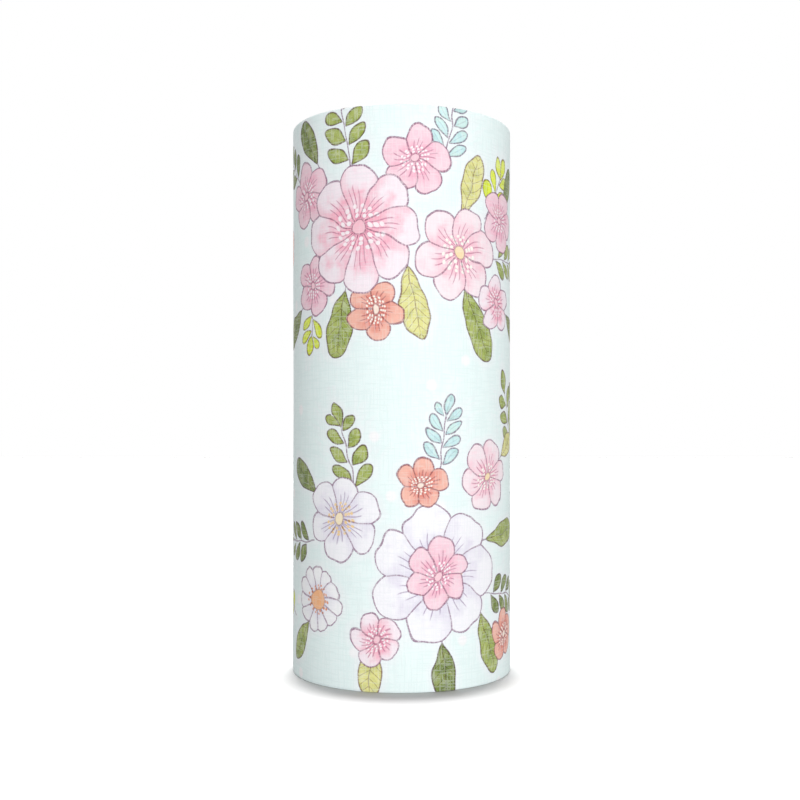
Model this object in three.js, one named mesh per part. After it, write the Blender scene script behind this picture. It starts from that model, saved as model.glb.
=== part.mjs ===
// A large square muslin cloth, folded to a long band and rolled up, standing on its end.
// Millimetres, +Z up, origin under the middle of the roll, the front towards -Y.

import * as THREE from 'three';

// The cloth, laid flat, and how it is folded before it is rolled.
const CLOTH_SIZE = 1200;
const LAYERS = 6;
const BAND_LENGTH = CLOTH_SIZE;
const BAND_WIDTH = CLOTH_SIZE / LAYERS;

// The roll.
const ROLL_DIAMETER = 81.6;
const CORE_RADIUS = 3;
const CORE_DIMPLE = 5;
const FREE_END_ANGLE = THREE.MathUtils.degToRad(104);
const END_TAPER_LENGTH = 13;
const END_THICKNESS_SHARE = 0.3;

// The band's folded edges, which show as one spiral ridge on each end of the roll.
const TOP_GROOVE_DEPTH = 1.8;
const BOTTOM_GROOVE_DEPTH = 1.3;
const EDGE_DRIFT = 0.6;
const DRIFT_PER_RADIAN = 0.8;

const STEPS_PER_TURN = 56;

// Across the band: its place as a share of the band's thickness, and how far the edge there lies
// inside the roll's end as a share of the groove. The groove itself is at 0 and at 1.
const TOP_EDGE = [
  { across: 0.0, inset: 1.0 },
  { across: 0.16, inset: 0.2 },
  { across: 0.5, inset: 0.0 },
  { across: 0.84, inset: 0.2 },
];
const BOTTOM_EDGE = [
  { across: 0.0, inset: 1.0 },
  { across: 0.16, inset: 0.0 },
  { across: 0.84, inset: 0.0 },
];

// The band's middle line is a spiral of BAND_LENGTH. Its radius grows from the core by one band
// thickness a turn, and half way round the last turn its outside is at the roll's radius, which
// gives a quadratic for the number of turns.
function turnsOfBand() {
  const wound = ROLL_DIAMETER / 2 - CORE_RADIUS;
  const a = 2 * Math.PI * (2 * CORE_RADIUS + wound);
  const b = 2 * Math.PI * (CORE_RADIUS + wound) - 2 * BAND_LENGTH;
  return (-b + Math.sqrt(b * b + 4 * a * BAND_LENGTH)) / (2 * a);
}

const LAST_STEP = Math.round(turnsOfBand() * STEPS_PER_TURN);
const TURNS = LAST_STEP / STEPS_PER_TURN;
const BAND_THICKNESS = (ROLL_DIAMETER / 2 - CORE_RADIUS) / (TURNS + 0.5);

// Angle wound since the core, in radians.
const woundAngle = (step) => (2 * Math.PI * step) / STEPS_PER_TURN;

const innerRadius = (step) => CORE_RADIUS + (BAND_THICKNESS * step) / STEPS_PER_TURN;

// Full along the roll, and thinner over the free end, where the layers stop one after another.
function thickness(step) {
  const stepLength = woundAngle(1) * innerRadius(LAST_STEP);
  const fromEnd = (LAST_STEP - step) * stepLength;
  const pressed = 1 - THREE.MathUtils.smoothstep(fromEnd, 0, END_TAPER_LENGTH);
  return BAND_THICKNESS * (1 - (1 - END_THICKNESS_SHARE) * pressed);
}

// Folding by hand leaves the band a little wider in some places than in others.
const topHeight = (step) => BAND_WIDTH + EDGE_DRIFT * Math.sin(DRIFT_PER_RADIAN * woundAngle(step));

function rollGeometry() {
  const positions = [];
  const triangles = [];

  function addPoint(step, across, z) {
    const angle = FREE_END_ANGLE - woundAngle(LAST_STEP - step);
    const radius = innerRadius(step) + thickness(step) * across;
    positions.push(radius * Math.cos(angle), radius * Math.sin(angle), z);
    return positions.length / 3 - 1;
  }

  function addQuad(a, b, c, d) {
    triangles.push(a, b, c, a, c, d);
  }

  const top = [];
  const bottom = [];
  for (let step = 0; step <= LAST_STEP; step += 1) {
    const height = topHeight(step);
    top.push(TOP_EDGE.map((p) => addPoint(step, p.across, height - p.inset * TOP_GROOVE_DEPTH)));
    bottom.push(BOTTOM_EDGE.map((p) => addPoint(step, p.across, p.inset * BOTTOM_GROOVE_DEPTH)));
  }

  // The outside of a turn is the groove at the inside of the next, and on the last turn the rim.
  for (let step = 0; step <= LAST_STEP; step += 1) {
    const next = step + STEPS_PER_TURN;
    const outside = next <= LAST_STEP;
    top[step].push(outside ? top[next][0] : addPoint(step, 1, topHeight(step) - TOP_GROOVE_DEPTH));
    bottom[step].push(outside ? bottom[next][0] : addPoint(step, 1, BOTTOM_GROOVE_DEPTH));
  }

  // Both ends of the roll.
  for (let step = 0; step < LAST_STEP; step += 1) {
    for (let i = 0; i + 1 < top[step].length; i += 1) {
      addQuad(top[step][i], top[step][i + 1], top[step + 1][i + 1], top[step + 1][i]);
    }
    for (let i = 0; i + 1 < bottom[step].length; i += 1) {
      addQuad(bottom[step + 1][i], bottom[step + 1][i + 1], bottom[step][i + 1], bottom[step][i]);
    }
  }

  // The outside of the last turn, and then the free end's face.
  for (let step = LAST_STEP - STEPS_PER_TURN; step < LAST_STEP; step += 1) {
    addQuad(bottom[step].at(-1), bottom[step + 1].at(-1), top[step + 1].at(-1), top[step].at(-1));
  }
  addEndFace([...bottom[LAST_STEP], ...top[LAST_STEP].toReversed()]);

  // The core: a shallow dimple at each end, closed by the band's first turn.
  const coreTop = addAxisPoint(topHeight(0) - CORE_DIMPLE);
  const coreBottom = addAxisPoint(CORE_DIMPLE);
  const coreRim = (edge) => [
    ...edge.slice(0, STEPS_PER_TURN + 1).map((column) => column[0]),
    ...edge[0].slice(1, -1).toReversed(),
  ];
  addFan(coreTop, coreRim(top));
  addFan(coreBottom, coreRim(bottom).toReversed());

  function addAxisPoint(z) {
    positions.push(0, 0, z);
    return positions.length / 3 - 1;
  }

  function addFan(centre, rim) {
    rim.forEach((corner, i) => triangles.push(centre, corner, rim[(i + 1) % rim.length]));
  }

  // The free end is flat, so its outline is cut into triangles in radius and height. They come
  // out facing back along the band, and are turned round.
  function addEndFace(corners) {
    const outline = corners.map((corner) => {
      const [x, y, z] = positions.slice(3 * corner, 3 * corner + 3);
      return new THREE.Vector2(Math.hypot(x, y), z);
    });
    for (const [a, b, c] of THREE.ShapeUtils.triangulateShape(outline, [])) {
      triangles.push(corners[c], corners[b], corners[a]);
    }
  }

  const geometry = new THREE.BufferGeometry();
  geometry.setAttribute('position', new THREE.Float32BufferAttribute(positions, 3));
  geometry.setIndex(triangles);

  // The spiral is lopsided, so the roll is moved until its box stands over the origin.
  geometry.computeBoundingBox();
  const { min, max } = geometry.boundingBox;
  geometry.translate(-(min.x + max.x) / 2, -(min.y + max.y) / 2, -min.z);
  geometry.computeVertexNormals();
  return geometry;
}

function muslinRoll() {
  const material = new THREE.MeshStandardMaterial({ color: '#dcf0ef', roughness: 0.92, metalness: 0 });
  const roll = new THREE.Mesh(rollGeometry(), material);
  roll.name = 'muslin_roll';
  return roll;
}

const part = new THREE.Group();
part.add(muslinRoll());

export default part;
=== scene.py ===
# %% [markdown]
# # A rolled muslin cloth
#
# A muslin is one large square of thin, loosely woven cotton, hemmed on all four sides. This one
# was folded in half, then in three, and the long band that this gives was rolled up and stood on
# its end. The imported CAD model gives the roll's place and size, and this script gives it the real
# cloth: one sheet, folded and wound as the real one is, with its weave and its printed flowers.
#
# The CAD model comes first, because every piece has to sit in its frame.

# %% Load the frame
import math

import bpy
import mathutils
import numpy as np
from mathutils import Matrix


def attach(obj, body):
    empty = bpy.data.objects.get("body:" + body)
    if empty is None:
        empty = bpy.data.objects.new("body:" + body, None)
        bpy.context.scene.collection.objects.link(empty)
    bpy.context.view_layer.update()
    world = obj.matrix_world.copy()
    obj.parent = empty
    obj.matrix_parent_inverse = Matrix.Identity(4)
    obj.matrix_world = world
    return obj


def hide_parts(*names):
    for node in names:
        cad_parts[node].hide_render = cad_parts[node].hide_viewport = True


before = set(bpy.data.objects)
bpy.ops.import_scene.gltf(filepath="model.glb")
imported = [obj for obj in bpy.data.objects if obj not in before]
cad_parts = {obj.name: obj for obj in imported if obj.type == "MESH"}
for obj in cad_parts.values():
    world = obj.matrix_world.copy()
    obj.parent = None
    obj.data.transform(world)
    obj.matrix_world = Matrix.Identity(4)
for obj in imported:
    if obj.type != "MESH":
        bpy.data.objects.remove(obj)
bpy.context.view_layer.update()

# %% [markdown]
# ## Sizes
#
# The sizes are in millimetres, as a maker would write them, and are turned into metres only when
# a mesh is made. The band's thickness isn't chosen freely: the roll's width and the length of the
# band fix it. A spiral that grows by its own thickness p each turn has a middle line of
# 2 pi n (core + p (n + 1) / 2), and half way round its last turn its outside is at
# core + p (n + 1 / 2), the roll's radius. Together they give a quadratic for the number of turns
# n, which is rounded to whole steps of the CAD model.

# %% Sizes of the cloth and the roll
MM = 0.001
TURN = 2 * math.pi
CLOTH_SIZE = 1200.0
LAYERS = 6
BAND_WIDTH = CLOTH_SIZE / LAYERS
ROLL_DIAMETER = 81.6
CORE_RADIUS = 3.0
FREE_END_ANGLE = math.radians(104)
CAD_STEPS_PER_TURN = 56

wound = ROLL_DIAMETER / 2 - CORE_RADIUS
quadratic_a = TURN * (2 * CORE_RADIUS + wound)
quadratic_b = TURN * (CORE_RADIUS + wound) - 2 * CLOTH_SIZE
root = math.sqrt(quadratic_b**2 + 4 * quadratic_a * CLOTH_SIZE)
turns = (root - quadratic_b) / (2 * quadratic_a)
TURNS = round(turns * CAD_STEPS_PER_TURN) / CAD_STEPS_PER_TURN
BAND_THICKNESS = wound / (TURNS + 0.5)
END_ANGLE = TURN * TURNS
END_RADIUS = CORE_RADIUS + BAND_THICKNESS * (TURNS + 0.5)
print(f"{TURNS:.2f} turns of a band {BAND_THICKNESS:.2f} mm thick")

# %% [markdown]
# ## The band's section
#
# Cut the band across and its section is one line. It starts at one hem, goes up and down through
# six layers and ends at the other hem. Layer 1 is the outside of the roll and layer 6 the inside.
# Folding in half and then in three gives the order 4, 1, 6, 5, 2, 3. A fold isn't a crease but a
# small round loop, and these loops are what shows on the two ends of a roll.
#
# Each row of the sheet is kept as how far across the band it lies, whether it hangs from the top
# of the roll or stands on its foot, and which way the cloth's printed side faces there. A hem is
# the edge turned over to the back of the cloth.

# %% Rows of cloth across the band
HEM_WIDTH = 9.0
HEM_GAP = 0.3
TURN_GAP = 0.3
INNER_LAYER = 0.2
LAYER_GAP = (BAND_THICKNESS - TURN_GAP) / (LAYERS - 1)
LOOP_STEPS = 6
HEM_FOLD_STEPS = 3
BESIDE_FOLD = 0.003
section = []


def across_band(layer):
    """How far layer 1 to 6 lies from the band's inner face."""
    return INNER_LAYER + LAYER_GAP * (LAYERS - layer)


def add_row(across, share, rise, facing, lift=0.0):
    """share is 0 at the foot of the roll and 1 at its top. rise is added to that height.

    facing is how far the printed side looks outwards and upwards. A hem's lift takes it off the
    cloth, towards the wrong side.
    """
    section.append((across, share, rise, *facing, lift))


def turned_hem(ways):
    """From the cut edge to the hem's fold: each step's way in from it, and off the cloth."""
    half = HEM_GAP / 2
    strip = [(way, HEM_GAP) for way in ways]
    fold = [math.pi * step / HEM_FOLD_STEPS for step in range(HEM_FOLD_STEPS)]
    return strip + [(-half * math.sin(a), half * (1 + math.cos(a))) for a in fold]


def add_hem(layer, foot, opening):
    """The hem at the foot of a layer. The cloth starts or ends with it."""
    facing = (1, 0) if layer % 2 else (-1, 0)
    hem = turned_hem([HEM_WIDTH, HEM_WIDTH * 2 / 3, HEM_WIDTH / 3])
    for way, lift in hem if opening else reversed(hem):
        add_row(across_band(layer), 0, foot + way, facing, lift)


def add_straight(layer, foot, top, steps=6):
    """A layer that starts and stops this far from the roll's foot and top. Even layers go up.

    An extra row close to each fold keeps the soft shading of the fold off the flat cloth.
    """
    facing = (1, 0) if layer % 2 else (-1, 0)
    inner = [step / steps for step in range(1, steps)]
    for way in [0, BESIDE_FOLD, *inner, 1 - BESIDE_FOLD, 1]:
        share = 1 - way if layer % 2 else way
        add_row(across_band(layer), share, (1 - share) * foot - share * top, facing)


def add_loop(first, second, side, start, depth):
    """The round fold between two layers, at the top with side 1 and at the foot with -1."""
    middle = (across_band(first) + across_band(second)) / 2
    half = (across_band(first) - across_band(second)) / 2
    for step in range(1, LOOP_STEPS):
        angle = math.pi * step / LOOP_STEPS
        run = (-half * math.sin(angle), side * depth * math.cos(angle))
        facing = (-run[1] / math.hypot(*run), run[0] / math.hypot(*run))
        rise = side * (depth * math.sin(angle) - start)
        add_row(middle + half * math.cos(angle), max(side, 0), rise, facing)


add_hem(4, foot=1.4, opening=True)
add_straight(4, foot=1.4, top=0.45)
add_loop(4, 1, side=1, start=0.45, depth=0.45)
outer_rows = [len(section)]
add_straight(1, foot=0.15, top=0.45, steps=60)
outer_rows.append(len(section) - 1)
add_loop(1, 6, side=-1, start=0.15, depth=0.15)
add_straight(6, foot=0.15, top=0.5)
add_loop(6, 5, side=1, start=0.5, depth=0.45)
add_straight(5, foot=0.8, top=0.5)
add_loop(5, 2, side=-1, start=0.8, depth=0.55)
add_straight(2, foot=0.8, top=0.95)
add_loop(2, 3, side=1, start=0.95, depth=0.4)
add_straight(3, foot=1.4, top=0.95)
add_hem(3, foot=1.4, opening=False)
row_across, row_share, row_rise, row_out, row_up, row_lift = np.array(section).T
print(len(section), "rows across the band, with layers", round(LAYER_GAP, 2), "mm apart")

# %% [markdown]
# ## Columns along the band
#
# The other direction of the cloth runs along the band, from the core to the free end. Only the
# last turn shows from outside, so it gets about three times as many columns. Both ends are
# hemmed, and their turned strips repeat the columns that they lie on, so that they follow the
# same curve.

# %% Columns of cloth along the band
OUTER_TURNS = 1.1
STEPS_INSIDE = 48
STEPS_OUTSIDE = 160


def spiral_length(angle, across=BAND_THICKNESS / 2):
    """How long the spiral is from the core to this angle, at this place across the band."""
    return (CORE_RADIUS + across) * angle + BAND_THICKNESS * angle**2 / (2 * TURN)


outer_start = END_ANGLE - OUTER_TURNS * TURN
inside = np.arange(0, outer_start, TURN / STEPS_INSIDE)
outside = np.linspace(outer_start, END_ANGLE, round(OUTER_TURNS * STEPS_OUTSIDE) + 1)
flat = spiral_length(np.concatenate([inside, outside]))
band_length = flat[-1]
core_hem = turned_hem([HEM_WIDTH, *flat[(flat > 0) & (flat < HEM_WIDTH)][::-1]])
from_end = band_length - flat
free_hem = turned_hem([HEM_WIDTH, *from_end[(from_end > 0) & (from_end < HEM_WIDTH)]])[::-1]
column_length = np.array(
    [way for way, _ in core_hem] + list(flat) + [band_length - way for way, _ in free_hem]
)
column_lift = np.array(
    [lift for _, lift in core_hem] + [0] * len(flat) + [lift for _, lift in free_hem]
)
angles = np.linspace(-1, END_ANGLE + 1, 20000)
column_angle = np.interp(column_length, spiral_length(angles), angles)
first_outer = len(core_hem) + len(inside)
print(len(column_length), "columns for a band", round(band_length), "mm long")

# %% [markdown]
# ## From the band to the roll
#
# A point of the band is wound on by its angle. Four things keep it from looking like a machine
# part. The six layers don't stop together: the outer ones have a slightly longer way round, so
# the free end thins out in small steps, and its edge isn't quite straight. The band's edges drift
# up and down by about half a millimetre. Its shoulders are round at both ends of the roll, but
# stay sharp on the outside of the last turn, which the tension of rolling pulls straight. And the
# whole roll has a few soft, wide bumps, the same for neighbouring layers, so that none of them
# pass through each other.

# %% Wind the band
STAGGER = 3.0
END_WAVE = 0.8
END_WAVE_REACH = 50.0
END_TAPER_LENGTH = 13.0
END_THICKNESS_SHARE = 0.45
EDGE_DRIFT = 0.6
DRIFT_PER_RADIAN = 0.8
FOOT_UNEVEN = 0.02
TOP_UNEVEN = 0.12
TOP_UNEVEN_INSIDE = 0.2
FOOT_SHOULDER = 0.5
TOP_SHOULDER = 0.35
BUMPS = [
    # height, wave length, seed
    (0.16, 70, 11),
    (0.05, 24, 12),
]


def smoothstep(x):
    x = np.clip(x, 0, 1)
    return x * x * (3 - 2 * x)


def soft_wave(points, wave_length, seed):
    """Smooth bumps, mostly between -1 and 1, made of six sine waves in random directions."""
    random = np.random.default_rng(seed)
    total = 0
    for _ in range(6):
        way = random.normal(size=points.shape[-1])
        way *= TURN / wave_length / np.linalg.norm(way) * random.uniform(0.6, 1.5)
        total = total + np.sin(points @ way + random.uniform(0, TURN))
    return total / 3


def stop_in_steps(angle, share, layer_share):
    """Ends the outer layers a little before the inner ones, along a slightly wavy edge."""
    angle = angle * (1 - STAGGER * layer_share / (END_RADIUS * END_ANGLE))
    near_end = smoothstep(1 - (END_ANGLE - angle) * END_RADIUS / END_WAVE_REACH)
    wave = np.sin(share * 6 + 0.5) + 0.5 * np.sin(share * 15 + 2)
    return angle + near_end * wave * END_WAVE / END_RADIUS


def height_on_roll(angle, share, rise, layer_share):
    """The height over the floor. The last turn doesn't drift, and its outer shoulder is sharp."""
    round_roll = angle[..., None] * END_RADIUS
    inner_fold, outer_fold = soft_wave(round_roll, 50, 3), soft_wave(round_roll, 80, 5)
    uneven = np.where(layer_share < 0.25, inner_fold, outer_fold)
    inside = smoothstep((END_ANGLE - angle) / TURN - 0.9)
    top = BAND_WIDTH + EDGE_DRIFT * inside * np.sin(DRIFT_PER_RADIAN * angle)
    top = top + (TOP_UNEVEN + TOP_UNEVEN_INSIDE * inside) * uneven * share**3
    near_foot, near_top = (1 - share) ** 6, share**6
    height = share * top + rise + FOOT_UNEVEN * (1 + uneven) * near_foot
    shoulder = (2 * layer_share - 1) ** 4 * np.where(layer_share < 0.5, 1, inside)
    return height + shoulder * (FOOT_SHOULDER * near_foot - TOP_SHOULDER * near_top)


def wind(angle, across, out, up, lift, share, rise):
    """Places on the roll, in millimetres, for points of the band."""
    layer_share = (across - across_band(LAYERS)) / (across_band(1) - across_band(LAYERS))
    angle = stop_in_steps(angle, share, layer_share)
    pressed = 1 - smoothstep((END_ANGLE - angle) * END_RADIUS / END_TAPER_LENGTH)
    across = across * (1 - (1 - END_THICKNESS_SHARE) * pressed)
    radius = CORE_RADIUS + BAND_THICKNESS * angle / TURN + across - lift * out
    height = height_on_roll(angle, share, rise - lift * up, layer_share)
    turned = FREE_END_ANGLE - END_ANGLE + angle
    x, y = radius * np.cos(turned), radius * np.sin(turned)
    places = np.stack([x, y, height * 0.5], axis=-1)
    bump = sum(size * soft_wave(places, length, seed) for size, length, seed in BUMPS)
    return np.stack([x + bump * np.cos(turned), y + bump * np.sin(turned), height], axis=-1)


grid_angle, row = np.meshgrid(column_angle, np.arange(len(section)), indexing="ij")
lift = column_lift[:, None] + row_lift[None, :]
points = wind(
    grid_angle, row_across[row], row_out[row], row_up[row], lift, row_share[row], row_rise[row]
)
low, high = points.min(axis=(0, 1)), points.max(axis=(0, 1))
roll_shift = np.array([(low[0] + high[0]) / 2, (low[1] + high[1]) / 2, low[2]])
points -= roll_shift
print("Roll in mm:", np.round(high - low, 1))

# %% [markdown]
# ## The sheet
#
# The rows and columns make one grid of four-sided faces, so the mesh is truly one cloth that could
# be unrolled. Each vertex also remembers where it lies on the flat cloth, in millimetres, which is
# what the weave and the print are drawn with. The numbers are true to size on the outside layer,
# with 0 in the middle of the front and at the foot.
#
# The outside layer is wound a little less far than its angle says, because it stops first. So the
# angle that comes to lie in front is a little larger than it would be on a plain spiral.
#
# The sheet also gets a UV map, for baking the colours to an image. More than half of the image
# goes to the outside of the last turn, because the rest of the cloth is hidden in the roll.

# %% Make a mesh from a grid
def grid_faces(columns, rows):
    corner = np.arange(columns * rows).reshape(columns, rows)
    sides = (corner[:-1, :-1], corner[:-1, 1:], corner[1:, 1:], corner[1:, :-1])
    return np.stack(sides, axis=-1).reshape(-1, 4)


def new_piece(name, places, faces):
    """A smooth mesh object from millimetres, placed in the scene."""
    mesh = bpy.data.meshes.new(name)
    mesh.from_pydata((np.reshape(places, (-1, 3)) * MM).tolist(), [], faces.tolist())
    mesh.shade_smooth()
    piece = bpy.data.objects.new(name, mesh)
    bpy.context.scene.collection.objects.link(piece)
    return piece


cloth = new_piece("muslin_sheet", points, grid_faces(len(column_length), len(section)))
print(len(cloth.data.polygons) * 2, "triangles")

# %% Where each vertex lies on the flat cloth
nominal = np.stack(
    [row_across - row_lift * row_out, row_share * BAND_WIDTH + row_rise - row_lift * row_up]
)
steps_down = np.hypot(*np.diff(nominal, axis=1))
row_length = np.concatenate([[0], np.cumsum(steps_down)])
foot = row_length[outer_rows[1]] + nominal[1, outer_rows[1]]
cloth_y = foot - row_length
FRONT_ANGLE = END_ANGLE - FREE_END_ANGLE - math.pi / 2
FRONT_ANGLE /= 1 - STAGGER / (END_RADIUS * END_ANGLE)


def from_front(angle):
    """How far along the outside layer this angle lies from the middle of the front."""
    return spiral_length(angle, across_band(1)) - spiral_length(FRONT_ANGLE, across_band(1))


cloth_x = from_front(column_angle)
flat_places = np.zeros((len(column_length), len(section), 3), dtype=np.float32)
flat_places[..., 0] = cloth_x[:, None]
flat_places[..., 1] = cloth_y[None, :]
place_attribute = cloth.data.attributes.new("cloth_place", "FLOAT_VECTOR", "POINT")
place_attribute.data.foreach_set("vector", flat_places.ravel())


def add_map(mesh, name, u, v):
    """A UV map with one place for each vertex of a grid."""
    corners = np.empty(len(mesh.loops), dtype=np.int32)
    mesh.loops.foreach_get("vertex_index", corners)
    grid_uv = np.stack(np.meshgrid(u, v, indexing="ij"), axis=-1).reshape(-1, 2)
    mesh.uv_layers.new(name=name).data.foreach_set("uv", grid_uv[corners].ravel())


OUTER_TURN_FROM = 0.14
OUTER_LAYER_FROM_TO = (0.1, 0.76)
column_count, row_count = len(column_length), len(section)
bake_u = np.interp(
    np.arange(column_count), [0, first_outer, column_count - 1], [0, OUTER_TURN_FROM, 1]
)
bake_v = np.interp(
    np.arange(row_count), [0, *outer_rows, row_count - 1], [0, *OUTER_LAYER_FROM_TO, 1]
)
add_map(cloth.data, "OFBake", bake_u, bake_v)
print("Front of the cloth:", round(float(cloth_y[outer_rows[0]]), 1), "mm high")

# %% [markdown]
# ## A short way to write shader maths
#
# The weave and the print are drawn with numbers, not with an image, so they stay sharp at any
# distance. That takes a lot of Math nodes. `Wire` makes them readable: adding, multiplying or
# comparing two wires adds the node that does it and returns the wire that comes out.

# %% Wires
class Wire:
    """A value on its way from one node to the next."""

    def __init__(self, socket):
        self.socket = socket

    def __add__(self, other):
        return math_node("ADD", self, other)

    def __radd__(self, other):
        return math_node("ADD", other, self)

    def __sub__(self, other):
        return math_node("SUBTRACT", self, other)

    def __rsub__(self, other):
        return math_node("SUBTRACT", other, self)

    def __mul__(self, other):
        return math_node("MULTIPLY", self, other)

    def __truediv__(self, other):
        return math_node("DIVIDE", self, other)

    def __rtruediv__(self, other):
        return math_node("DIVIDE", other, self)

    def __abs__(self):
        return math_node("ABSOLUTE", self)

    def __lt__(self, other):
        return math_node("LESS_THAN", self, other)

    def __gt__(self, other):
        return math_node("GREATER_THAN", self, other)


# %% Nodes from wires
def add_node(kind, values, sockets=None, **settings):
    """Adds a node to the tree that its wires are in. Plain numbers are set on its sockets."""
    tree = next(value.socket.id_data for value in values if isinstance(value, Wire))
    node = tree.nodes.new(kind)
    column, line = len(tree.nodes) % 40, len(tree.nodes) // 40
    node.location = (190 * column, -260 * line)
    for name, value in settings.items():
        setattr(node, name, value)
    for index, value in zip(sockets or range(len(values)), values):
        if isinstance(value, Wire):
            tree.links.new(value.socket, node.inputs[index])
        else:
            node.inputs[index].default_value = value
    return node


def math_node(operation, *values):
    return Wire(add_node("ShaderNodeMath", values, operation=operation).outputs[0])


def vector_node(operation, *values, output="Vector"):
    node = add_node("ShaderNodeVectorMath", values, operation=operation)
    return Wire(node.outputs[output])


def least(first, *others):
    for other in others:
        first = math_node("MINIMUM", first, other)
    return first


def most(first, *others):
    for other in others:
        first = math_node("MAXIMUM", first, other)
    return first


def length_of(x, y):
    return math_node("SQRT", x * x + y * y)


def wrap(value, half):
    """Repeats the span from -half to half for ever."""
    return math_node("WRAP", value, half, half * -1)


def ramp(value, start, end):
    """0 at start and 1 at end, smoothly. The start may be the larger of the two."""
    node = add_node(
        "ShaderNodeMapRange", (value, start, end), interpolation_type="SMOOTHSTEP"
    )
    return Wire(node.outputs[0])


def parts(vector):
    node = add_node("ShaderNodeSeparateXYZ", (vector,))
    return [Wire(socket) for socket in node.outputs]


def vector_of(x, y, z=0.0):
    return Wire(add_node("ShaderNodeCombineXYZ", (x, y, z)).outputs[0])


def mix(data_type, sockets, output, *values):
    """A Mix node has other sockets for numbers, for vectors and for colours."""
    node = add_node("ShaderNodeMix", values, sockets, data_type=data_type)
    return Wire(node.outputs[output])


def mix_value(factor, first, second):
    return mix("FLOAT", (0, 2, 3), 0, factor, first, second)


def mix_vector(factor, first, second):
    return mix("VECTOR", (0, 4, 5), 1, factor, first, second)


def mix_colour(factor, first, second):
    return mix("RGBA", (0, 6, 7), 2, factor, first, second)


def blotches(place, width, height, seed, detail=0.0):
    """Soft random patches of about this size in millimetres, from 0 to 1."""
    scaled = vector_node("MULTIPLY_ADD", place, (1 / width, 1 / height, 0), (seed, 2 * seed, 0))
    node = add_node(
        "ShaderNodeTexNoise", (scaled, 1.0, detail), (0, 2, 3), noise_dimensions="2D"
    )
    return Wire(node.outputs[0])


def colour(red, green, blue, alpha=1.0):
    """A colour as a paint program shows it, from 0 to 255, turned into light."""
    light = []
    for shown in (red / 255, green / 255, blue / 255):
        light.append(shown / 12.92 if shown <= 0.04045 else ((shown + 0.055) / 1.055) ** 2.4)
    return (*light, alpha)


# %% Node groups
def new_group(name, inputs, outputs):
    """Makes an empty node group. Returns its inputs' wires and a function that finishes it."""
    group = bpy.data.node_groups.new(name, "ShaderNodeTree")
    for in_out, sockets in (("INPUT", inputs), ("OUTPUT", outputs)):
        for title, value in sockets.items():
            size = len(value) if hasattr(value, "__len__") else 1
            kind = {1: "NodeSocketFloat", 3: "NodeSocketVector", 4: "NodeSocketColor"}[size]
            group.interface.new_socket(
                name=title, in_out=in_out, socket_type=kind
            ).default_value = value
    start = group.nodes.new("NodeGroupInput")
    end = group.nodes.new("NodeGroupOutput")

    def finish(**results):
        for title, wire in results.items():
            group.links.new(wire.socket, end.inputs[title])
        print(name, "has", len(group.nodes), "nodes")
        return group

    return {socket.name: Wire(socket) for socket in start.outputs if socket.name}, finish


def use_group(group, **values):
    """Places a group and returns its outputs by name."""
    node = add_node("ShaderNodeGroup", tuple(values.values()), tuple(values), node_tree=group)
    return {socket.name: Wire(socket) for socket in node.outputs}


# %% [markdown]
# ## Gauze
#
# Muslin is a plain weave of soft, uneven cotton threads, with small gaps between them. Where a
# thread swells to a slub it catches the light as a short pale dash, along either direction of the
# cloth; that paleness is partly bare thread and partly a painted highlight. Where the threads lie
# further apart, the shade seen through the gaps is painted in as a faint dark dash. The ink sits on
# top of the threads, so it skips the slubs, some single threads, and here and there a row of small
# dots along the weft. That is why the group gives not only the height of the threads for the bump,
# but also the slubs, the painted shade of the gaps and how well ink holds.

# %% Gauze weave
THREAD_PITCH = 0.7
DOT_ROW_SPACING = 8.0
DOT_PITCH = 1.1

given, finish = new_group(
    "Gauze weave",
    {"Place": (0.0, 0.0, 0.0), "Pitch": THREAD_PITCH},
    {"Height": 0.0, "Slub": 0.0, "Sparse": 0.0, "Hold": 0.0},
)
place = given["Place"]
x, y, _ = parts(place)
warp_x = x + (blotches(place, 30, 70, 1.5) - 0.5) * 2.0
weft_y = y + (blotches(place, 70, 30, 4.5) - 0.5) * 2.0
warp = abs(math_node("COSINE", warp_x * (math.pi / given["Pitch"])))
weft = abs(math_node("COSINE", weft_y * (math.pi / given["Pitch"])))
uneven = blotches(place, 0.8, 22, 3.1) * 0.6 + blotches(place, 22, 0.8, 8.3) * 0.4
slub = most(
    ramp(blotches(place, 5, 0.55, 7.1), 0.58, 0.70),
    ramp(blotches(place, 0.55, 6, 2.3), 0.58, 0.70),
)
sparse = most(
    ramp(blotches(place, 7, 0.6, 4.2), 0.42, 0.30),
    ramp(blotches(place, 0.6, 9, 6.2), 0.42, 0.30),
)
grain = ramp(blotches(place, 0.45, 0.45, 5.9), 0.5, 0.7)
dots = ramp(abs(wrap(weft_y, DOT_ROW_SPACING / 2)), 0.42, 0.2)
dots = dots * ramp(math_node("COSINE", warp_x * (TURN / DOT_PITCH)), 0.0, 0.6)
dots = dots * ramp(blotches(place, 14, 20, 9.7), 0.42, 0.56)
gauze = finish(
    Height=most(warp, weft) * 0.3 + uneven * 0.3 + slub * 0.3 - sparse * 0.2 + 0.2,
    Slub=slub,
    # The gap output is painted shade: darker where threads lie apart, as if the shaded layer
    # beneath showed through.
    Sparse=least(sparse + ramp(uneven, 0.5, 0.34) * 0.7, 1.0),
    Hold=1 - least(slub * 0.3 + dots * 0.5 + grain * 0.5, 1.0),
)

# %% [markdown]
# ## The print's leaves
#
# The print is a loose flower print in a watercolour style: blossoms, leafy sprays and sprigs on
# pale mint, all with a thin mauve outline. Each motif is drawn in its own millimetres, from
# distances to its edge. A distance is all that an outline, a filled shape and the pale halo round
# it need, and the lines keep their width however large the motif is.
#
# A leaf is a stretched circle that is narrower at its base. Dividing by the slope of the
# stretched distance turns it back into millimetres. Larger leaves get side veins.

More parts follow.
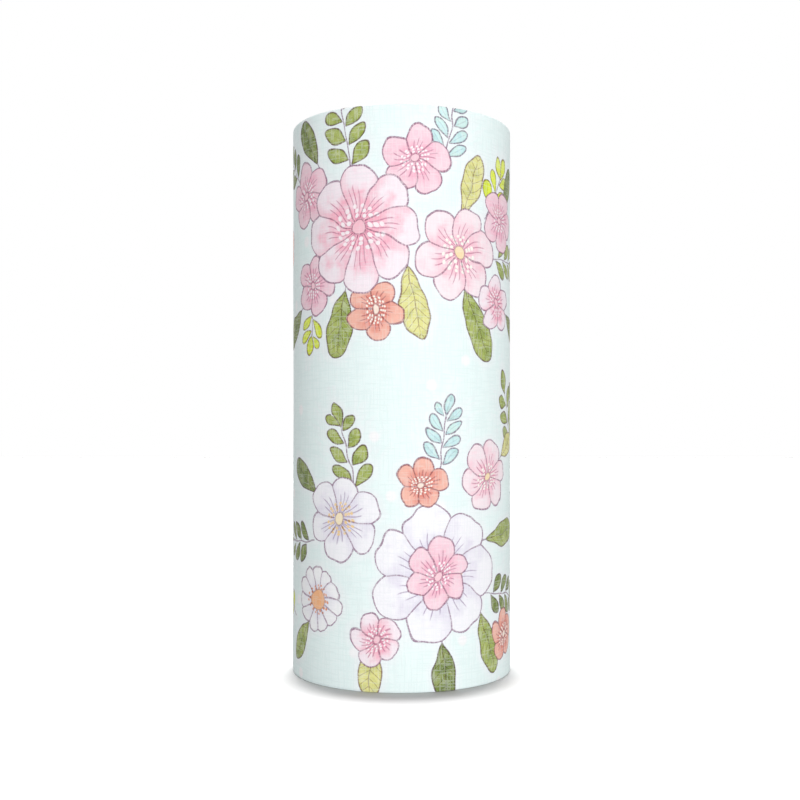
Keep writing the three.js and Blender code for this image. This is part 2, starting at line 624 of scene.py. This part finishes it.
# %% Leaf shape
given, finish = new_group(
    "Leaf shape",
    {"Across": 0.0, "Along": 0.0, "Length": 10.0, "Half": 2.0},
    {"Distance": 0.0, "Ribs": 0.0},
)
across, along, length, half = (given[name] for name in ("Across", "Along", "Length", "Half"))
lengthwise = along * 2 / length - 1
waist = half * most(1 + lengthwise * 0.35 - lengthwise * lengthwise * 0.35, 0.3)
sideways = across / waist
size = length_of(lengthwise, sideways)
steepest = vector_of(sideways / waist, lengthwise * 2 / length)
slope = vector_node("LENGTH", steepest, output="Value")
distance = (size - 1) * (size + 0.001) / (slope + 0.0001)
midrib = ramp(abs(across), 0.24, 0.08) * ramp(lengthwise, 0.85, 0.6)
large = ramp(half, 2.9, 3.6)
veins = ramp(abs(wrap(along - abs(across) * 0.9, 1.5)), 0.26, 0.08) * large
leaf_shape = finish(
    Distance=distance,
    Ribs=ramp(distance, -0.3, -0.7) * most(midrib * (large * 0.6 + 0.25), veins * 0.7),
)

# %% [markdown]
# ## A spray of leaves
#
# A spray has pairs of leaves along a bent stem and one leaf at its tip. Drawing every leaf would
# be slow, so the stem is folded in half and its length is cut into equal gaps: each point asks
# only which leaf is nearest, and one leaf shape draws them all. With a stem shorter than one gap
# there is only the tip, which gives the large single leaves.

# %% Ink, halo and an unsteady hand
INK = (0.33, 0.2, 0.29)
HALO = colour(250, 249, 253)
HALO_WIDTH = 4.0


def draw_ink(amount, hold, painted):
    """Transparent mauve ink over what is painted, thinner where the threads don't hold it."""
    darker = vector_node("MULTIPLY", painted, INK)
    return mix_colour(amount * (hold * 0.7 + 0.3), painted, darker)


def draw_halo(distance, given):
    """The paler ground that a motif leaves round itself, but not on other motifs."""
    halo = ramp(distance, HALO_WIDTH - 0.5, 0.4)
    return mix_colour(halo * 0.4 * (1 - given["Cover"]), given["Under"], HALO)


def hand_drawn(place, style, size, amount):
    """Moves places a little, softly and at random, so that lines waver as a brush does."""
    seed = vector_node("MULTIPLY_ADD", style, (7, 5, 0), place)
    along, aside = (blotches(seed, size, size, at) - 0.5 for at in (1.7, 6.4))
    return vector_node("MULTIPLY_ADD", vector_of(along, aside), (amount, amount, 0), place)


# %% Leaves of a painted spray
LEAF_SPREAD = math.radians(48)
GAP_OF_PAIRS = 2.8
FIRST_PAIR = 0.6
LEFT_RIGHT_OFFSET = 0.14
STALK = 0.8

given, finish = new_group(
    "Painted spray",
    {
        "Under": HALO, "Cover": 0.0, "Place": (0.0, 0.0, 0.0), "Style": (30.0, 10.0, 2.0),
        "Hold": 1.0, "Tint": HALO,
    },
    {"Color": HALO, "Cover": 0.0},
)
x, y, bend = parts(hand_drawn(given["Place"], given["Style"], 7, 1.8))
stem, leaf, half = parts(given["Style"])
reach = y / (stem + leaf)
x = x - bend * reach * reach
side = math_node("SIGN", x)
gap = half * GAP_OF_PAIRS
offset = side * gap * LEFT_RIGHT_OFFSET
last = math_node("FLOOR", stem / gap - 0.7)
rank = math_node("ROUND", (y + offset - abs(x) / math.tan(LEAF_SPREAD)) / gap - FIRST_PAIR)
rank = most(least(rank, last), 0.0)
base = (rank + FIRST_PAIR) * gap - offset
rest = y - base
at_tip = most(abs(x) < (y - (last + FIRST_PAIR) * gap) * math.tan(LEAF_SPREAD / 2), last < -0.5)
up_stem = least(base / stem, 1.0)
shrink = 1 - up_stem * up_stem * 0.3
across = abs(x) * math.cos(LEAF_SPREAD) - rest * math.sin(LEAF_SPREAD)
along = abs(x) * math.sin(LEAF_SPREAD) + rest * math.cos(LEAF_SPREAD) - STALK
shape = use_group(
    leaf_shape,
    Across=mix_value(at_tip, across, x),
    Along=mix_value(at_tip, along, y - stem),
    Length=leaf * mix_value(at_tip, shrink, 0.95),
    Half=half * (shrink + 1) * 0.5,
)
stem_distance = most(abs(x) - 0.24, y * -1 - 0.4, y - stem - 0.3)

# %% Colours of a painted spray
SUNLIT = colour(238, 240, 170)
LEAF_SHADE = (0.6, 0.66, 0.56)

wash = blotches(given["Place"], 4, 4, 3.3, detail=2.0)
tone = math_node("FRACT", math_node("SINE", rank * 12.9 + side * 4.1 + stem) * 437.5)
pale = ramp(wash + tone * 0.2, 0.5, 0.75)
deep = ramp(wash + tone * 0.2, 0.62, 0.36)
edge = ramp(shape["Distance"], -1.2, -0.2)
shaded = vector_node("MULTIPLY", given["Tint"], LEAF_SHADE)
fill = mix_colour(pale * 0.15, given["Tint"], SUNLIT)
fill = mix_colour(most(deep, edge * 0.7) * 0.5, fill, shaded)
outline = ramp(abs(shape["Distance"] + 0.1), 0.38, 0.16)
ink = most(outline, ramp(stem_distance, 0.12, -0.12), shape["Ribs"])
inside = ramp(shape["Distance"], 0.1, -0.1)
painted = draw_halo(least(shape["Distance"], stem_distance), given)
painted = mix_colour(inside * (given["Hold"] * 0.18 + 0.82), painted, fill)
painted_spray = finish(
    Color=draw_ink(ink, given["Hold"], painted),
    Cover=most(given["Cover"], inside, ink),
)

# %% [markdown]
# ## A blossom
#
# A blossom is drawn the same way. Its circle is cut into equal slices, one for each petal, and a
# petal is a round lobe with a small notch. The slices are twisted a little, so that each petal
# seems to lie over the next. The colours of the petals, the centre and the small dots round it
# come from a short list of palettes. With many petals it is a daisy, which has a larger centre
# and no streaks in its petals.

# %% Palettes
PALETTES = [
    # petal tip, petal throat, centre, dots, lines
    [(253, 239, 247), (251, 176, 197), (252, 196, 210), (255, 242, 246), (190, 104, 140)],
    [(251, 250, 255), (230, 224, 240), (252, 234, 196), (245, 210, 150), (160, 136, 172)],
    [(253, 253, 255), (238, 234, 246), (248, 184, 132), (230, 144, 98), (160, 136, 168)],
    [(247, 186, 168), (230, 136, 120), (255, 230, 214), (255, 246, 236), (176, 84, 88)],
    [(254, 236, 242), (251, 194, 210), (254, 226, 178), (255, 250, 242), (192, 110, 144)],
    [(251, 215, 227), (247, 180, 202), (253, 206, 218), (255, 244, 248), (184, 100, 138)],
]


def pick(index, colours):
    """The colour with this number in a list, as a colour ramp without blending."""
    node = add_node("ShaderNodeValToRGB", ((index + 0.5) / len(colours),))
    node.color_ramp.interpolation = "CONSTANT"
    for place in range(2, len(colours)):
        node.color_ramp.elements.new(place / len(colours))
    for place, value in enumerate(colours):
        node.color_ramp.elements[place].position = place / len(colours)
        node.color_ramp.elements[place].color = colour(*value)
    return Wire(node.outputs[0])


# %% Petals of a painted blossom
TWIST = 0.2
DAISY_PETALS = 8.5

given, finish = new_group(
    "Painted blossom",
    {
        "Under": HALO, "Cover": 0.0, "Place": (0.0, 0.0, 0.0), "Style": (20.0, 5.0, 0.0),
        "Hold": 1.0,
    },
    {"Color": HALO, "Cover": 0.0},
)
x, y, _ = parts(hand_drawn(given["Place"], given["Style"], 9, 2.8))
radius, petals, palette = parts(given["Style"])
from_centre = length_of(x, y) / radius
turned = math_node("ARCTAN2", y, x) + from_centre * TWIST
slice_half = math.pi / petals
number = math_node("ROUND", turned / (slice_half * 2))
angle = turned - number * slice_half * 2
number = math_node("FLOORED_MODULO", number, petals)
uneven = math_node("FRACT", math_node("SINE", number * 7.3 + radius) * 91.7) - 0.5
sine = math_node("SINE", slice_half)
out = 0.93 / (sine + 1)
lobe = 1 - out
middle = out * (1 + uneven * 0.08)
along = from_centre * math_node("COSINE", angle) - middle
aside = abs(from_centre * math_node("SINE", angle))
notch = ramp(aside / lobe, 0.45, 0.0) * ramp(along, 0.0, 0.1) * 0.02
petal = length_of(along, aside) - lobe + notch
between = out * math_node("COSINE", slice_half)
distance = least(petal, from_centre - between * 0.9) * radius
valley = between + math_node("SQRT", most(lobe * lobe - out * out * sine * sine, 0.0))
to_slice = math_node("SINE", slice_half - abs(angle)) * from_centre * radius
inside = ramp(distance, 0.1, -0.1)
daisy = petals > DAISY_PETALS
heart = 0.12 + daisy * 0.16
parting = ramp(from_centre, heart, heart + 0.02) * ramp(to_slice, 0.36, 0.14)
parting = parting * ramp(from_centre, valley, valley - 0.03)

# %% Colours of a painted blossom
# The dots in each ring, and its radius as a share of the blossom's.
DOT_RINGS = [(8, 0.2), (12, 0.28), (15, 0.36)]

tip_colour, throat_colour, centre_colour, dot_colour, line_colour = (
    pick(palette, column) for column in zip(*PALETTES)
)
spacing = slice_half * 0.4
streak = ramp(abs(wrap(angle, spacing * 0.5)) * from_centre * radius, 0.27, 0.1)
streak = streak * (abs(angle) < spacing * 1.4) * (1 - daisy)
streak = streak * ramp(from_centre + abs(angle) * 0.35, 0.68, 0.6)
wash = blotches(given["Place"], 5, 5, 6.6, detail=2.0)
fill = mix_colour(ramp(from_centre + (wash - 0.5) * 0.9, 0.18, 0.85), throat_colour, tip_colour)
fill = mix_colour(ramp(angle / slice_half, 0.35, 1.0) * 0.5, fill, throat_colour)
fill = mix_colour(streak * 0.75, fill, line_colour)
dot_size = radius * 0.036
for count, ring in DOT_RINGS:
    turn_to = abs(wrap(turned, math.pi / count)) * from_centre * radius
    out_to = (from_centre - ring - daisy * 0.04) * radius
    dot = ramp(length_of(turn_to, out_to), dot_size + 0.1, dot_size - 0.1)
    fill = mix_colour(dot, fill, dot_colour)
to_heart = (from_centre - heart) * radius
fill = mix_colour(ramp(to_heart, 0.1, -0.1), fill, centre_colour)
outline = ramp(abs(distance + 0.1), 0.4, 0.16)
heart_line = ramp(abs(to_heart), 0.3, 0.12)
ink = most(outline, parting * 0.9, heart_line * 0.7) * ramp(distance, 0.5, 0.3)
painted = draw_halo(distance, given)
painted = mix_colour(inside * (given["Hold"] * 0.1 + 0.9), painted, fill)
painted_blossom = finish(
    Color=draw_ink(ink, given["Hold"], painted),
    Cover=most(given["Cover"], inside, ink),
)

# %% [markdown]
# ## Where the motifs go
#
# A printed cloth repeats its design. Each motif lies in a patch of the repeat, with its own
# place, turn and sizes, and a patch hands on what was there before it. After the last one, each
# point of the cloth knows the one motif that it may show, and only that is drawn. Motifs that
# overlap go into different lists, and the later list is painted over the earlier one.

# %% Motif patch
REPEAT = (200.0, 240.0)
FOUND = {"Local": (0.0, 0.0, 0.0), "LocalStyle": (1.0, 1.0, 1.0), "LocalTint": HALO}

given, finish = new_group(
    "Motif patch",
    {
        "Place": (0.0, 0.0, 0.0), "Centre": (0.0, 0.0, 0.0), "Across": (1.0, 0.0, 0.0),
        "Along": (0.0, 1.0, 0.0), "Patch": (1.0, 1.0, 1.0), "Offset": (0.0, 0.0, 0.0),
        "Style": (1.0, 1.0, 1.0), "Tint": HALO, **FOUND,
    },
    FOUND,
)
half_repeat = (REPEAT[0] / 2, REPEAT[1] / 2, 1.0)
less_half = (-REPEAT[0] / 2, -REPEAT[1] / 2, -1.0)
away = vector_node("SUBTRACT", given["Place"], given["Centre"])
away = vector_node("WRAP", away, half_repeat, less_half)
local = vector_of(
    vector_node("DOT_PRODUCT", away, given["Across"], output="Value"),
    vector_node("DOT_PRODUCT", away, given["Along"], output="Value"),
)
share = vector_node("DIVIDE", local, given["Patch"])
share = vector_node("MULTIPLY", share, share)
inside = vector_node("DOT_PRODUCT", share, share, output="Value") < 1
local = vector_node("ADD", local, given["Offset"])
motif_patch = finish(
    Local=mix_vector(inside, given["Local"], local),
    LocalStyle=mix_vector(inside, given["LocalStyle"], given["Style"]),
    LocalTint=mix_colour(inside, given["LocalTint"], given["Tint"]),
)


FAR_AWAY = (900.0, 900.0, 0.0)


def lay_out(place, motifs):
    """Chains the patches of a list of motifs and returns the local place, style and tint."""
    found = {"Local": FAR_AWAY, "LocalStyle": (20.0, 5.0, 2.0), "LocalTint": HALO}
    for motif in motifs:
        turn = math.radians(motif["turn"])
        across, along = (math.cos(turn), math.sin(turn)), (-math.sin(turn), math.cos(turn))
        centre = [motif["at"][k] + along[k] * motif["middle"] for k in (0, 1)]
        found = use_group(
            motif_patch,
            Place=place,
            Centre=(*centre, 0.0),
            Across=(*across, 0.0),
            Along=(*along, 0.0),
            Patch=(*motif["patch"], 1.0),
            Offset=(0.0, motif["middle"], motif["bend"]),
            Style=motif["style"],
            Tint=motif["tint"],
            **found,
        )
    return found


# %% Sprays, leaves and blossoms of the design
OLIVE = colour(160, 176, 76)
FERN = colour(120, 138, 52)
LIME = colour(234, 248, 40)
PALE_LEAF = colour(230, 226, 142)
SKY = colour(206, 241, 246)


def spray(x, y, turn, stem, leaf, half, bend, tint):
    """Grows from x, y. A turn of 0 points up, and 90 to the left."""
    top = stem + leaf + HALO_WIDTH
    wide = (leaf * 0.8 + half if stem > half * 5 else half) + HALO_WIDTH + abs(bend)
    patch = (wide * 1.05, (top + HALO_WIDTH) * 0.53)
    return dict(at=(x, y), turn=turn, middle=(top - HALO_WIDTH) / 2, patch=patch, bend=bend,
                style=(stem, leaf, half), tint=tint)


def blossom(x, y, turn, radius, petals, palette):
    patch = (radius * 1.1 + HALO_WIDTH,) * 2
    return dict(at=(x, y), turn=turn, middle=0.0, patch=patch, bend=0.0,
                style=(radius, petals, palette), tint=HALO)


SPRAYS = [
    # x, y, turn, stem, leaf, half width, bend, tint
    (-16, 176, 14, 26, 10.0, 2.4, 3, OLIVE),
    (16, 180, -14, 24, 8.5, 1.9, -3, SKY),
    (38, 150, -86, 18, 8.5, 2.0, 2, OLIVE),
    (34, 164, -36, 18, 9.0, 2.3, -2, LIME),
    (-44, 178, 50, 16, 8.5, 2.0, -2, FERN),
    (-34, 132, 172, 10, 7.5, 1.9, 1, LIME),
    (58, 82, 28, 22, 9.5, 2.3, 3, OLIVE),
    (-15, 67, 10, 24, 9.5, 2.3, -3, OLIVE),
    (14, 75, -6, 20, 8.0, 1.8, 2, SKY),
    (-34, 50, 96, 20, 8.5, 2.0, 3, FERN),
    (34, 32, -94, 22, 8.5, 2.0, 3, FERN),
    (-50, 22, 60, 8, 7.0, 1.8, 1, LIME),
    (102, 130, -8, 24, 9.5, 2.2, 3, OLIVE),
    (84, 145, 14, 12, 8.0, 1.8, -2, SKY),
    (78, 82, 176, 12, 7.5, 1.7, 1, SKY),
    (96, 49, -12, 16, 8.5, 2.0, 2, OLIVE),
    (120, 28, -60, 9, 7.0, 1.8, 1, LIME),
    (84, 190, 50, 14, 8.5, 2.0, 2, OLIVE),
]
LEAVES = [
    (-19, 140, 172, 3, 25, 5.8, 1, OLIVE),
    (2, 148, -170, 3, 27, 5.6, -1, PALE_LEAF),
    (22, 140, -150, 3, 29, 6.2, 1, OLIVE),
    (47, 132, -118, 3, 19, 4.6, -1, FERN),
    (-40, 134, 128, 3, 22, 5.0, 1, FERN),
    (-30, 180, 34, 3, 20, 5.0, 1, FERN),
    (23, 160, -16, 3, 24, 5.0, 1, PALE_LEAF),
    (45, 166, -30, 3, 20, 4.4, 1, FERN),
    (30, 28, -156, 3, 25, 5.2, 1, OLIVE),
    (-8, 20, 170, 3, 20, 5.0, -1, PALE_LEAF),
    (15, 20, -176, 3, 22, 5.0, 0, FERN),
    (-36, 24, 146, 3, 19, 4.6, 1, OLIVE),
    (-30, 66, 58, 3, 20, 4.8, 1, FERN),
    (42, 78, -56, 3, 16, 4.4, 1, PALE_LEAF),
    (32, 50, -80, 3, 24, 5.0, 1, OLIVE),
    (107, 96, -170, 3, 22, 5.2, 1, OLIVE),
    (90, 98, 166, 3, 22, 5.2, 1, PALE_LEAF),
    (75, 101, 84, 3, 18, 4.6, 1, FERN),
    (128, 122, -162, 3, 19, 4.6, 1, FERN),
    (121, 142, -40, 3, 18, 4.4, -1, PALE_LEAF),
    (100, 26, 178, 3, 20, 4.6, 1, FERN),
    (84, 28, 160, 3, 18, 4.6, 1, PALE_LEAF),
    (92, 176, 158, 3, 18, 4.4, 1, FERN),
    (116, 178, 166, 3, 18, 4.4, 1, OLIVE),
    (106, 198, -12, 3, 20, 4.8, 1, FERN),
]
BLOSSOMS_BEHIND = [
    # x, y, turn, radius, petals, palette
    (22, 150, 20, 17, 6, 4),
    (6, 181, 20, 12.5, 5, 5),
    (-38, 172, 40, 12, 5, 5),
    (-34, 140, 10, 11, 5, 5),
    (-8, 130, 0, 10.5, 5, 3),
    (-62, 157, 30, 10, 5, 3),
    (14, 40, 10, 24, 7, 1),
    (-32, 30, 0, 11.5, 11, 2),
    (47, 16, 30, 9.5, 5, 3),
    (125, 128, 20, 13, 5, 5),
    (77, 93, 0, 11, 5, 3),
    (84, 135, 50, 12, 6, 1),
    (117, 87, 10, 11, 5, 4),
    (90, 40, 30, 13, 11, 2),
    (70, 17, 0, 9, 5, 3),
    (104, 190, 10, 13, 6, 1),
]
BLOSSOMS_FRONT = [
    (-14, 158, 12, 22, 8, 0),
    (44, 164, 0, 11.5, 5, 5),
    (41, 134, 30, 10.5, 5, 0),
    (14, 40, 32, 12, 6, 5),
    (-21, 59, 30, 15, 6, 1),
    (35, 73, 20, 12.5, 6, 4),
    (8, 71, 20, 9, 5, 3),
    (-8, 18, 44, 9.5, 5, 0),
    (101, 112, 0, 20, 8, 0),
    (111, 25, 30, 10, 5, 5),
    (84, 178, 30, 10.5, 5, 5),
    (124, 178, 10, 9.5, 5, 3),
]
print(len(SPRAYS) + len(LEAVES), "sprays and leaves")
print(len(BLOSSOMS_BEHIND) + len(BLOSSOMS_FRONT), "blossoms in a repeat of", REPEAT, "mm")

# %% [markdown]
# ## The printed muslin
#
# The material puts it together: mint ground with soft white dots, the four lists of motifs, and
# the pale slubs over everything. The back of thin muslin shows the print too, but paler. Cotton
# is matt with a faint fuzzy sheen, and the threads stand up by less than a tenth of a millimetre.
#
# The free end's hem is stitched. The thread pulls the cloth in along its line, most of all where
# the needle went through, so the material has a shallow furrow there with a row of small holes,
# whose darkness is painted shade.

# %% The line of stitches
STITCH_FROM_EDGE = 7.5
FIRST_STITCH = 3.0
STITCH_PITCH = 3.2
FURROW = 2.5

stitch_angle = np.interp(band_length - STITCH_FROM_EDGE, spiral_length(angles), angles)
stitch_x = float(from_front(stitch_angle))
print("Stitches at", round(stitch_x, 1), "mm from the middle of the front")

# %% Printed muslin material
GROUND = colour(238, 253, 252)
SOFT_WHITE = colour(254, 254, 255)
BARE_THREAD_AND_HIGHLIGHT = colour(252, 255, 255)
WRONG_SIDE = colour(243, 248, 247)
SPARSE_SHADE = (0.955, 0.965, 0.965)
HOLE_SHADE = (0.55, 0.58, 0.6)
DOT_SPACING = 27.0
THREAD_DEPTH = 0.06
SHEEN = 0.1

muslin = bpy.data.materials.new("printed_muslin_cotton")
muslin.use_nodes = True
muslin.node_tree.nodes.clear()
where = muslin.node_tree.nodes.new("ShaderNodeAttribute")
where.attribute_name = "cloth_place"
place = Wire(where.outputs["Vector"])
weave = use_group(gauze, Place=place)

cells = add_node(
    "ShaderNodeTexVoronoi",
    (vector_node("MULTIPLY", place, (1 / DOT_SPACING,) * 3), 1.0),
    (0, 2),
    voronoi_dimensions="2D",
)
soft_dot = ramp(Wire(cells.outputs["Distance"]) * DOT_SPACING, 2.5, 1.1)
printed = mix_colour(soft_dot * 0.95, GROUND, SOFT_WHITE)
layers = (
    (painted_spray, spray, SPRAYS), (painted_spray, spray, LEAVES),
    (painted_blossom, blossom, BLOSSOMS_BEHIND), (painted_blossom, blossom, BLOSSOMS_FRONT),
)
cover = 0.0
for painter, motif, rows in layers:
    found = lay_out(place, [motif(*row) for row in rows])
    values = dict(
        Under=printed, Cover=cover, Place=found["Local"], Style=found["LocalStyle"],
        Hold=weave["Hold"],
    )
    if painter is painted_spray:
        values["Tint"] = found["LocalTint"]
    painting = use_group(painter, **values)
    printed, cover = painting["Color"], painting["Cover"]
# Slubs turn paler: partly bare thread where the ink skips, partly a painted highlight where they
# stand up.
printed = mix_colour(weave["Slub"] * 0.15, printed, BARE_THREAD_AND_HIGHLIGHT)
# Painted shade: darker where the threads lie apart and the shaded cloth beneath shows through.
printed = mix_colour(weave["Sparse"], printed, vector_node("MULTIPLY", printed, SPARSE_SHADE))

x, y, _ = parts(place)
from_stitches = abs(x - stitch_x)
between_stitches = STITCH_PITCH / 2 - abs(wrap(y - FIRST_STITCH, STITCH_PITCH / 2))
# Painted shade: small dark spots where the needle went through.
needle_hole_shade = ramp(length_of(from_stitches, between_stitches), 0.45, 0.2)
furrow = ramp(from_stitches, 1.4, 0.1) * (ramp(between_stitches, 1.2, 0.2) * 0.4 + 0.6)
printed = mix_colour(needle_hole_shade * 0.6, printed, vector_node("MULTIPLY", printed, HOLE_SHADE))

geometry = muslin.node_tree.nodes.new("ShaderNodeNewGeometry")
behind = Wire(geometry.outputs["Backfacing"])
shown = mix_colour(behind * 0.6, printed, WRONG_SIDE)


def finish_material(material, base_colour, roughness, height, depth):
    """Adds the Principled BSDF of a matt textile, with a bump of this depth in millimetres."""
    nodes, links = material.node_tree.nodes, material.node_tree.links
    shader = nodes.new("ShaderNodeBsdfPrincipled")
    output = nodes.new("ShaderNodeOutputMaterial")
    bump = nodes.new("ShaderNodeBump")
    bump.inputs["Distance"].default_value = depth * MM
    links.new(height.socket, bump.inputs["Height"])
    links.new(bump.outputs["Normal"], shader.inputs["Normal"])
    links.new(base_colour.socket, shader.inputs["Base Color"])
    links.new(roughness.socket, shader.inputs["Roughness"])
    shader.inputs["Specular IOR Level"].default_value = 0.5
    shader.inputs["Sheen Weight"].default_value = SHEEN
    shader.inputs["Sheen Roughness"].default_value = 0.5
    links.new(shader.outputs[0], output.inputs["Surface"])


raised = weave["Height"] - furrow * FURROW
finish_material(muslin, shown, weave["Height"] * 0.1 + 0.6, raised, THREAD_DEPTH)
cloth.data.materials.append(muslin)
print("Muslin has", len(muslin.node_tree.nodes), "nodes")

# %% [markdown]
# ## The hem's stitching
#
# The hem is held by one straight line of stitches. It shows only at the free end, down the back
# of the roll. Each stitch is a short piece of thread that comes up through the cloth, lies on it
# and goes down again, so it is thickest in its middle and its ends are sunk into the cloth.

# %% Stitches down the free end
STITCH_LENGTH = 2.5
THREAD_RADIUS = 0.24
THREAD_FLATNESS = 0.7
MIDDLE_STANDS_OUT = 0.1
END_SINKS_BY = 0.16
STRAND_PITCH = 0.5
STRAND_DEPTH = 0.04
RINGS, AROUND = 7, 8

stitch_centres = np.arange(FIRST_STITCH, BAND_WIDTH - STITCH_LENGTH, STITCH_PITCH)
run = np.linspace(-1, 1, RINGS)[None, :, None]
turned = (np.arange(AROUND) * TURN / AROUND)[None, None, :]
thick = THREAD_RADIUS * np.sqrt(1.02 - run**2)
height = stitch_centres[:, None, None] + run * STITCH_LENGTH / 2 + 0 * turned
above = MIDDLE_STANDS_OUT - END_SINKS_BY * run**2 + thick * THREAD_FLATNESS * np.sin(turned)
stitch_points = wind(
    stitch_angle + thick * np.cos(turned) / END_RADIUS + 0 * height,
    np.full(height.shape, across_band(1)),
    out=1.0, up=0.0, lift=-above, share=height / BAND_WIDTH, rise=0.0,
) - roll_shift
corner = np.arange(stitch_points[..., 0].size).reshape(-1, RINGS, AROUND)
after = np.roll(corner, -1, axis=2)
sides = (corner[:, :-1], after[:, :-1], after[:, 1:], corner[:, 1:])
stitching = new_piece(
    "hem_stitching", stitch_points, np.stack(sides, axis=-1).reshape(-1, 4)
)
print(len(stitch_centres), "stitches")

thread = bpy.data.materials.new("hem_thread_cotton")
thread.use_nodes = True
thread.node_tree.nodes.clear()
position = Wire(thread.node_tree.nodes.new("ShaderNodeTexCoord").outputs["Object"])
x, y, z = parts(position)
strand = math_node("SINE", (z / MM + x * 0.9 / MM) * (TURN / STRAND_PITCH)) * 0.5 + 0.5
thread_colour = mix_colour(strand * 0.5, colour(246, 250, 250), colour(214, 228, 228))
finish_material(thread, thread_colour, strand * 0.1 + 0.7, strand, STRAND_DEPTH)
stitching.data.materials.append(thread)

# %% Attach to the body and hide the CAD part
for piece in (cloth, stitching):
    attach(piece, "root")
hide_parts("muslin_roll")

# %% [markdown]
# ## Camera
#
# The photograph is taken from straight ahead at a little under half the roll's height. The camera
# looks level, so upright edges stay parallel, and its shift moves the picture, not the view.

# %% Camera
CAMERA_DISTANCE = 414.0
CAMERA_HEIGHT = 89.8

camera_data = bpy.data.cameras.new("camera")
camera_data.lens = 49.46
camera_data.sensor_width = 36
camera_data.shift_x = -0.0021
camera_data.shift_y = 0.0358
camera = bpy.data.objects.new("camera", camera_data)
camera.location = (0, -CAMERA_DISTANCE * MM, CAMERA_HEIGHT * MM)
camera.rotation_euler = (math.radians(90), 0, 0)
bpy.context.scene.collection.objects.link(camera)
bpy.context.scene.camera = camera

# %% [markdown]
# ## Floor and light
#
# A packshot has a pure white ground and light from everywhere, with one side a little brighter.
# The floor and the sky look white to the camera but throw less light back than white would,
# which keeps the shape of the roll: its left side falls off to grey. The floor lights the roll by
# an even glow, as a light table does, so the foot stays as bright as the rest. The narrow shadow
# at the foot comes from a light that shines on the floor alone, from above and a little behind.

# %% Floor
FLOOR_HALF = 3000.0
PAPER_SEEN, PAPER_UNSEEN = 0.5, 0.05
PAPER_GLOW = 0.48


def grey(value):
    return (value, value, value, 1.0)


corners = [(x * FLOOR_HALF, y * FLOOR_HALF, 0) for x, y in ((-1, -1), (1, -1), (1, 1), (-1, 1))]
floor = new_piece("floor", corners, np.array([[0, 1, 2, 3]]))

paper = bpy.data.materials.new("white_paper")
paper.use_nodes = True
rays = paper.node_tree.nodes.new("ShaderNodeLightPath")
paper_shader = paper.node_tree.nodes["Principled BSDF"]
paper_shader.inputs["Specular IOR Level"].default_value = 0.0
paper_shader.inputs["Roughness"].default_value = 1.0
seen = Wire(rays.outputs["Is Camera Ray"])
paper_colour = mix_colour(seen, grey(PAPER_UNSEEN), grey(PAPER_SEEN))
glow = mix_colour(seen, grey(PAPER_GLOW), grey(0.0))
paper.node_tree.links.new(paper_colour.socket, paper_shader.inputs["Base Color"])
paper.node_tree.links.new(glow.socket, paper_shader.inputs["Emission Color"])
paper_shader.inputs["Emission Strength"].default_value = 1.0
floor.data.materials.append(paper)

# %% Sky and lights
SKY_LIGHT = 0.425

world = bpy.data.worlds.new("white_room")
world.use_nodes = True
bpy.context.scene.world = world
sky = world.node_tree.nodes["Background"]
rays = world.node_tree.nodes.new("ShaderNodeLightPath")
sky_strength = mix_value(Wire(rays.outputs["Is Camera Ray"]), SKY_LIGHT, 1.0)
sky.inputs["Color"].default_value = (1, 1, 1, 1)
world.node_tree.links.new(sky_strength.socket, sky.inputs["Strength"])
bpy.context.scene.view_settings.view_transform = "Standard"


def add_light(name, kind, place, power):
    """A light at this place in metres that faces the middle of the roll."""
    data = bpy.data.lights.new(name, kind)
    data.energy = power
    light = bpy.data.objects.new(name, data)
    light.location = place
    way = mathutils.Vector(place) - mathutils.Vector((0, 0, BAND_WIDTH * MM / 2))
    light.rotation_euler = way.to_track_quat("Z", "Y").to_euler()
    bpy.context.scene.collection.objects.link(light)
    return light


add_light("front_light", "AREA", (0.36, -1.38, 0.22), 21.4).data.size = 1.4
add_light("back_light", "AREA", (-0.2, 1.4, 0.6), 6.3).data.size = 1.0
add_light("top_light", "SUN", (0.0, 0.1, 1.05), 1.0).data.angle = math.radians(20)
floor_light = add_light("floor_light", "SUN", (0.0, 0.056, 1.05), 4.8)
floor_light.data.angle = math.radians(4)
lit_by_it = bpy.data.collections.new("lit_by_floor_light")
lit_by_it.objects.link(floor)
floor_light.light_linking.receiver_collection = lit_by_it
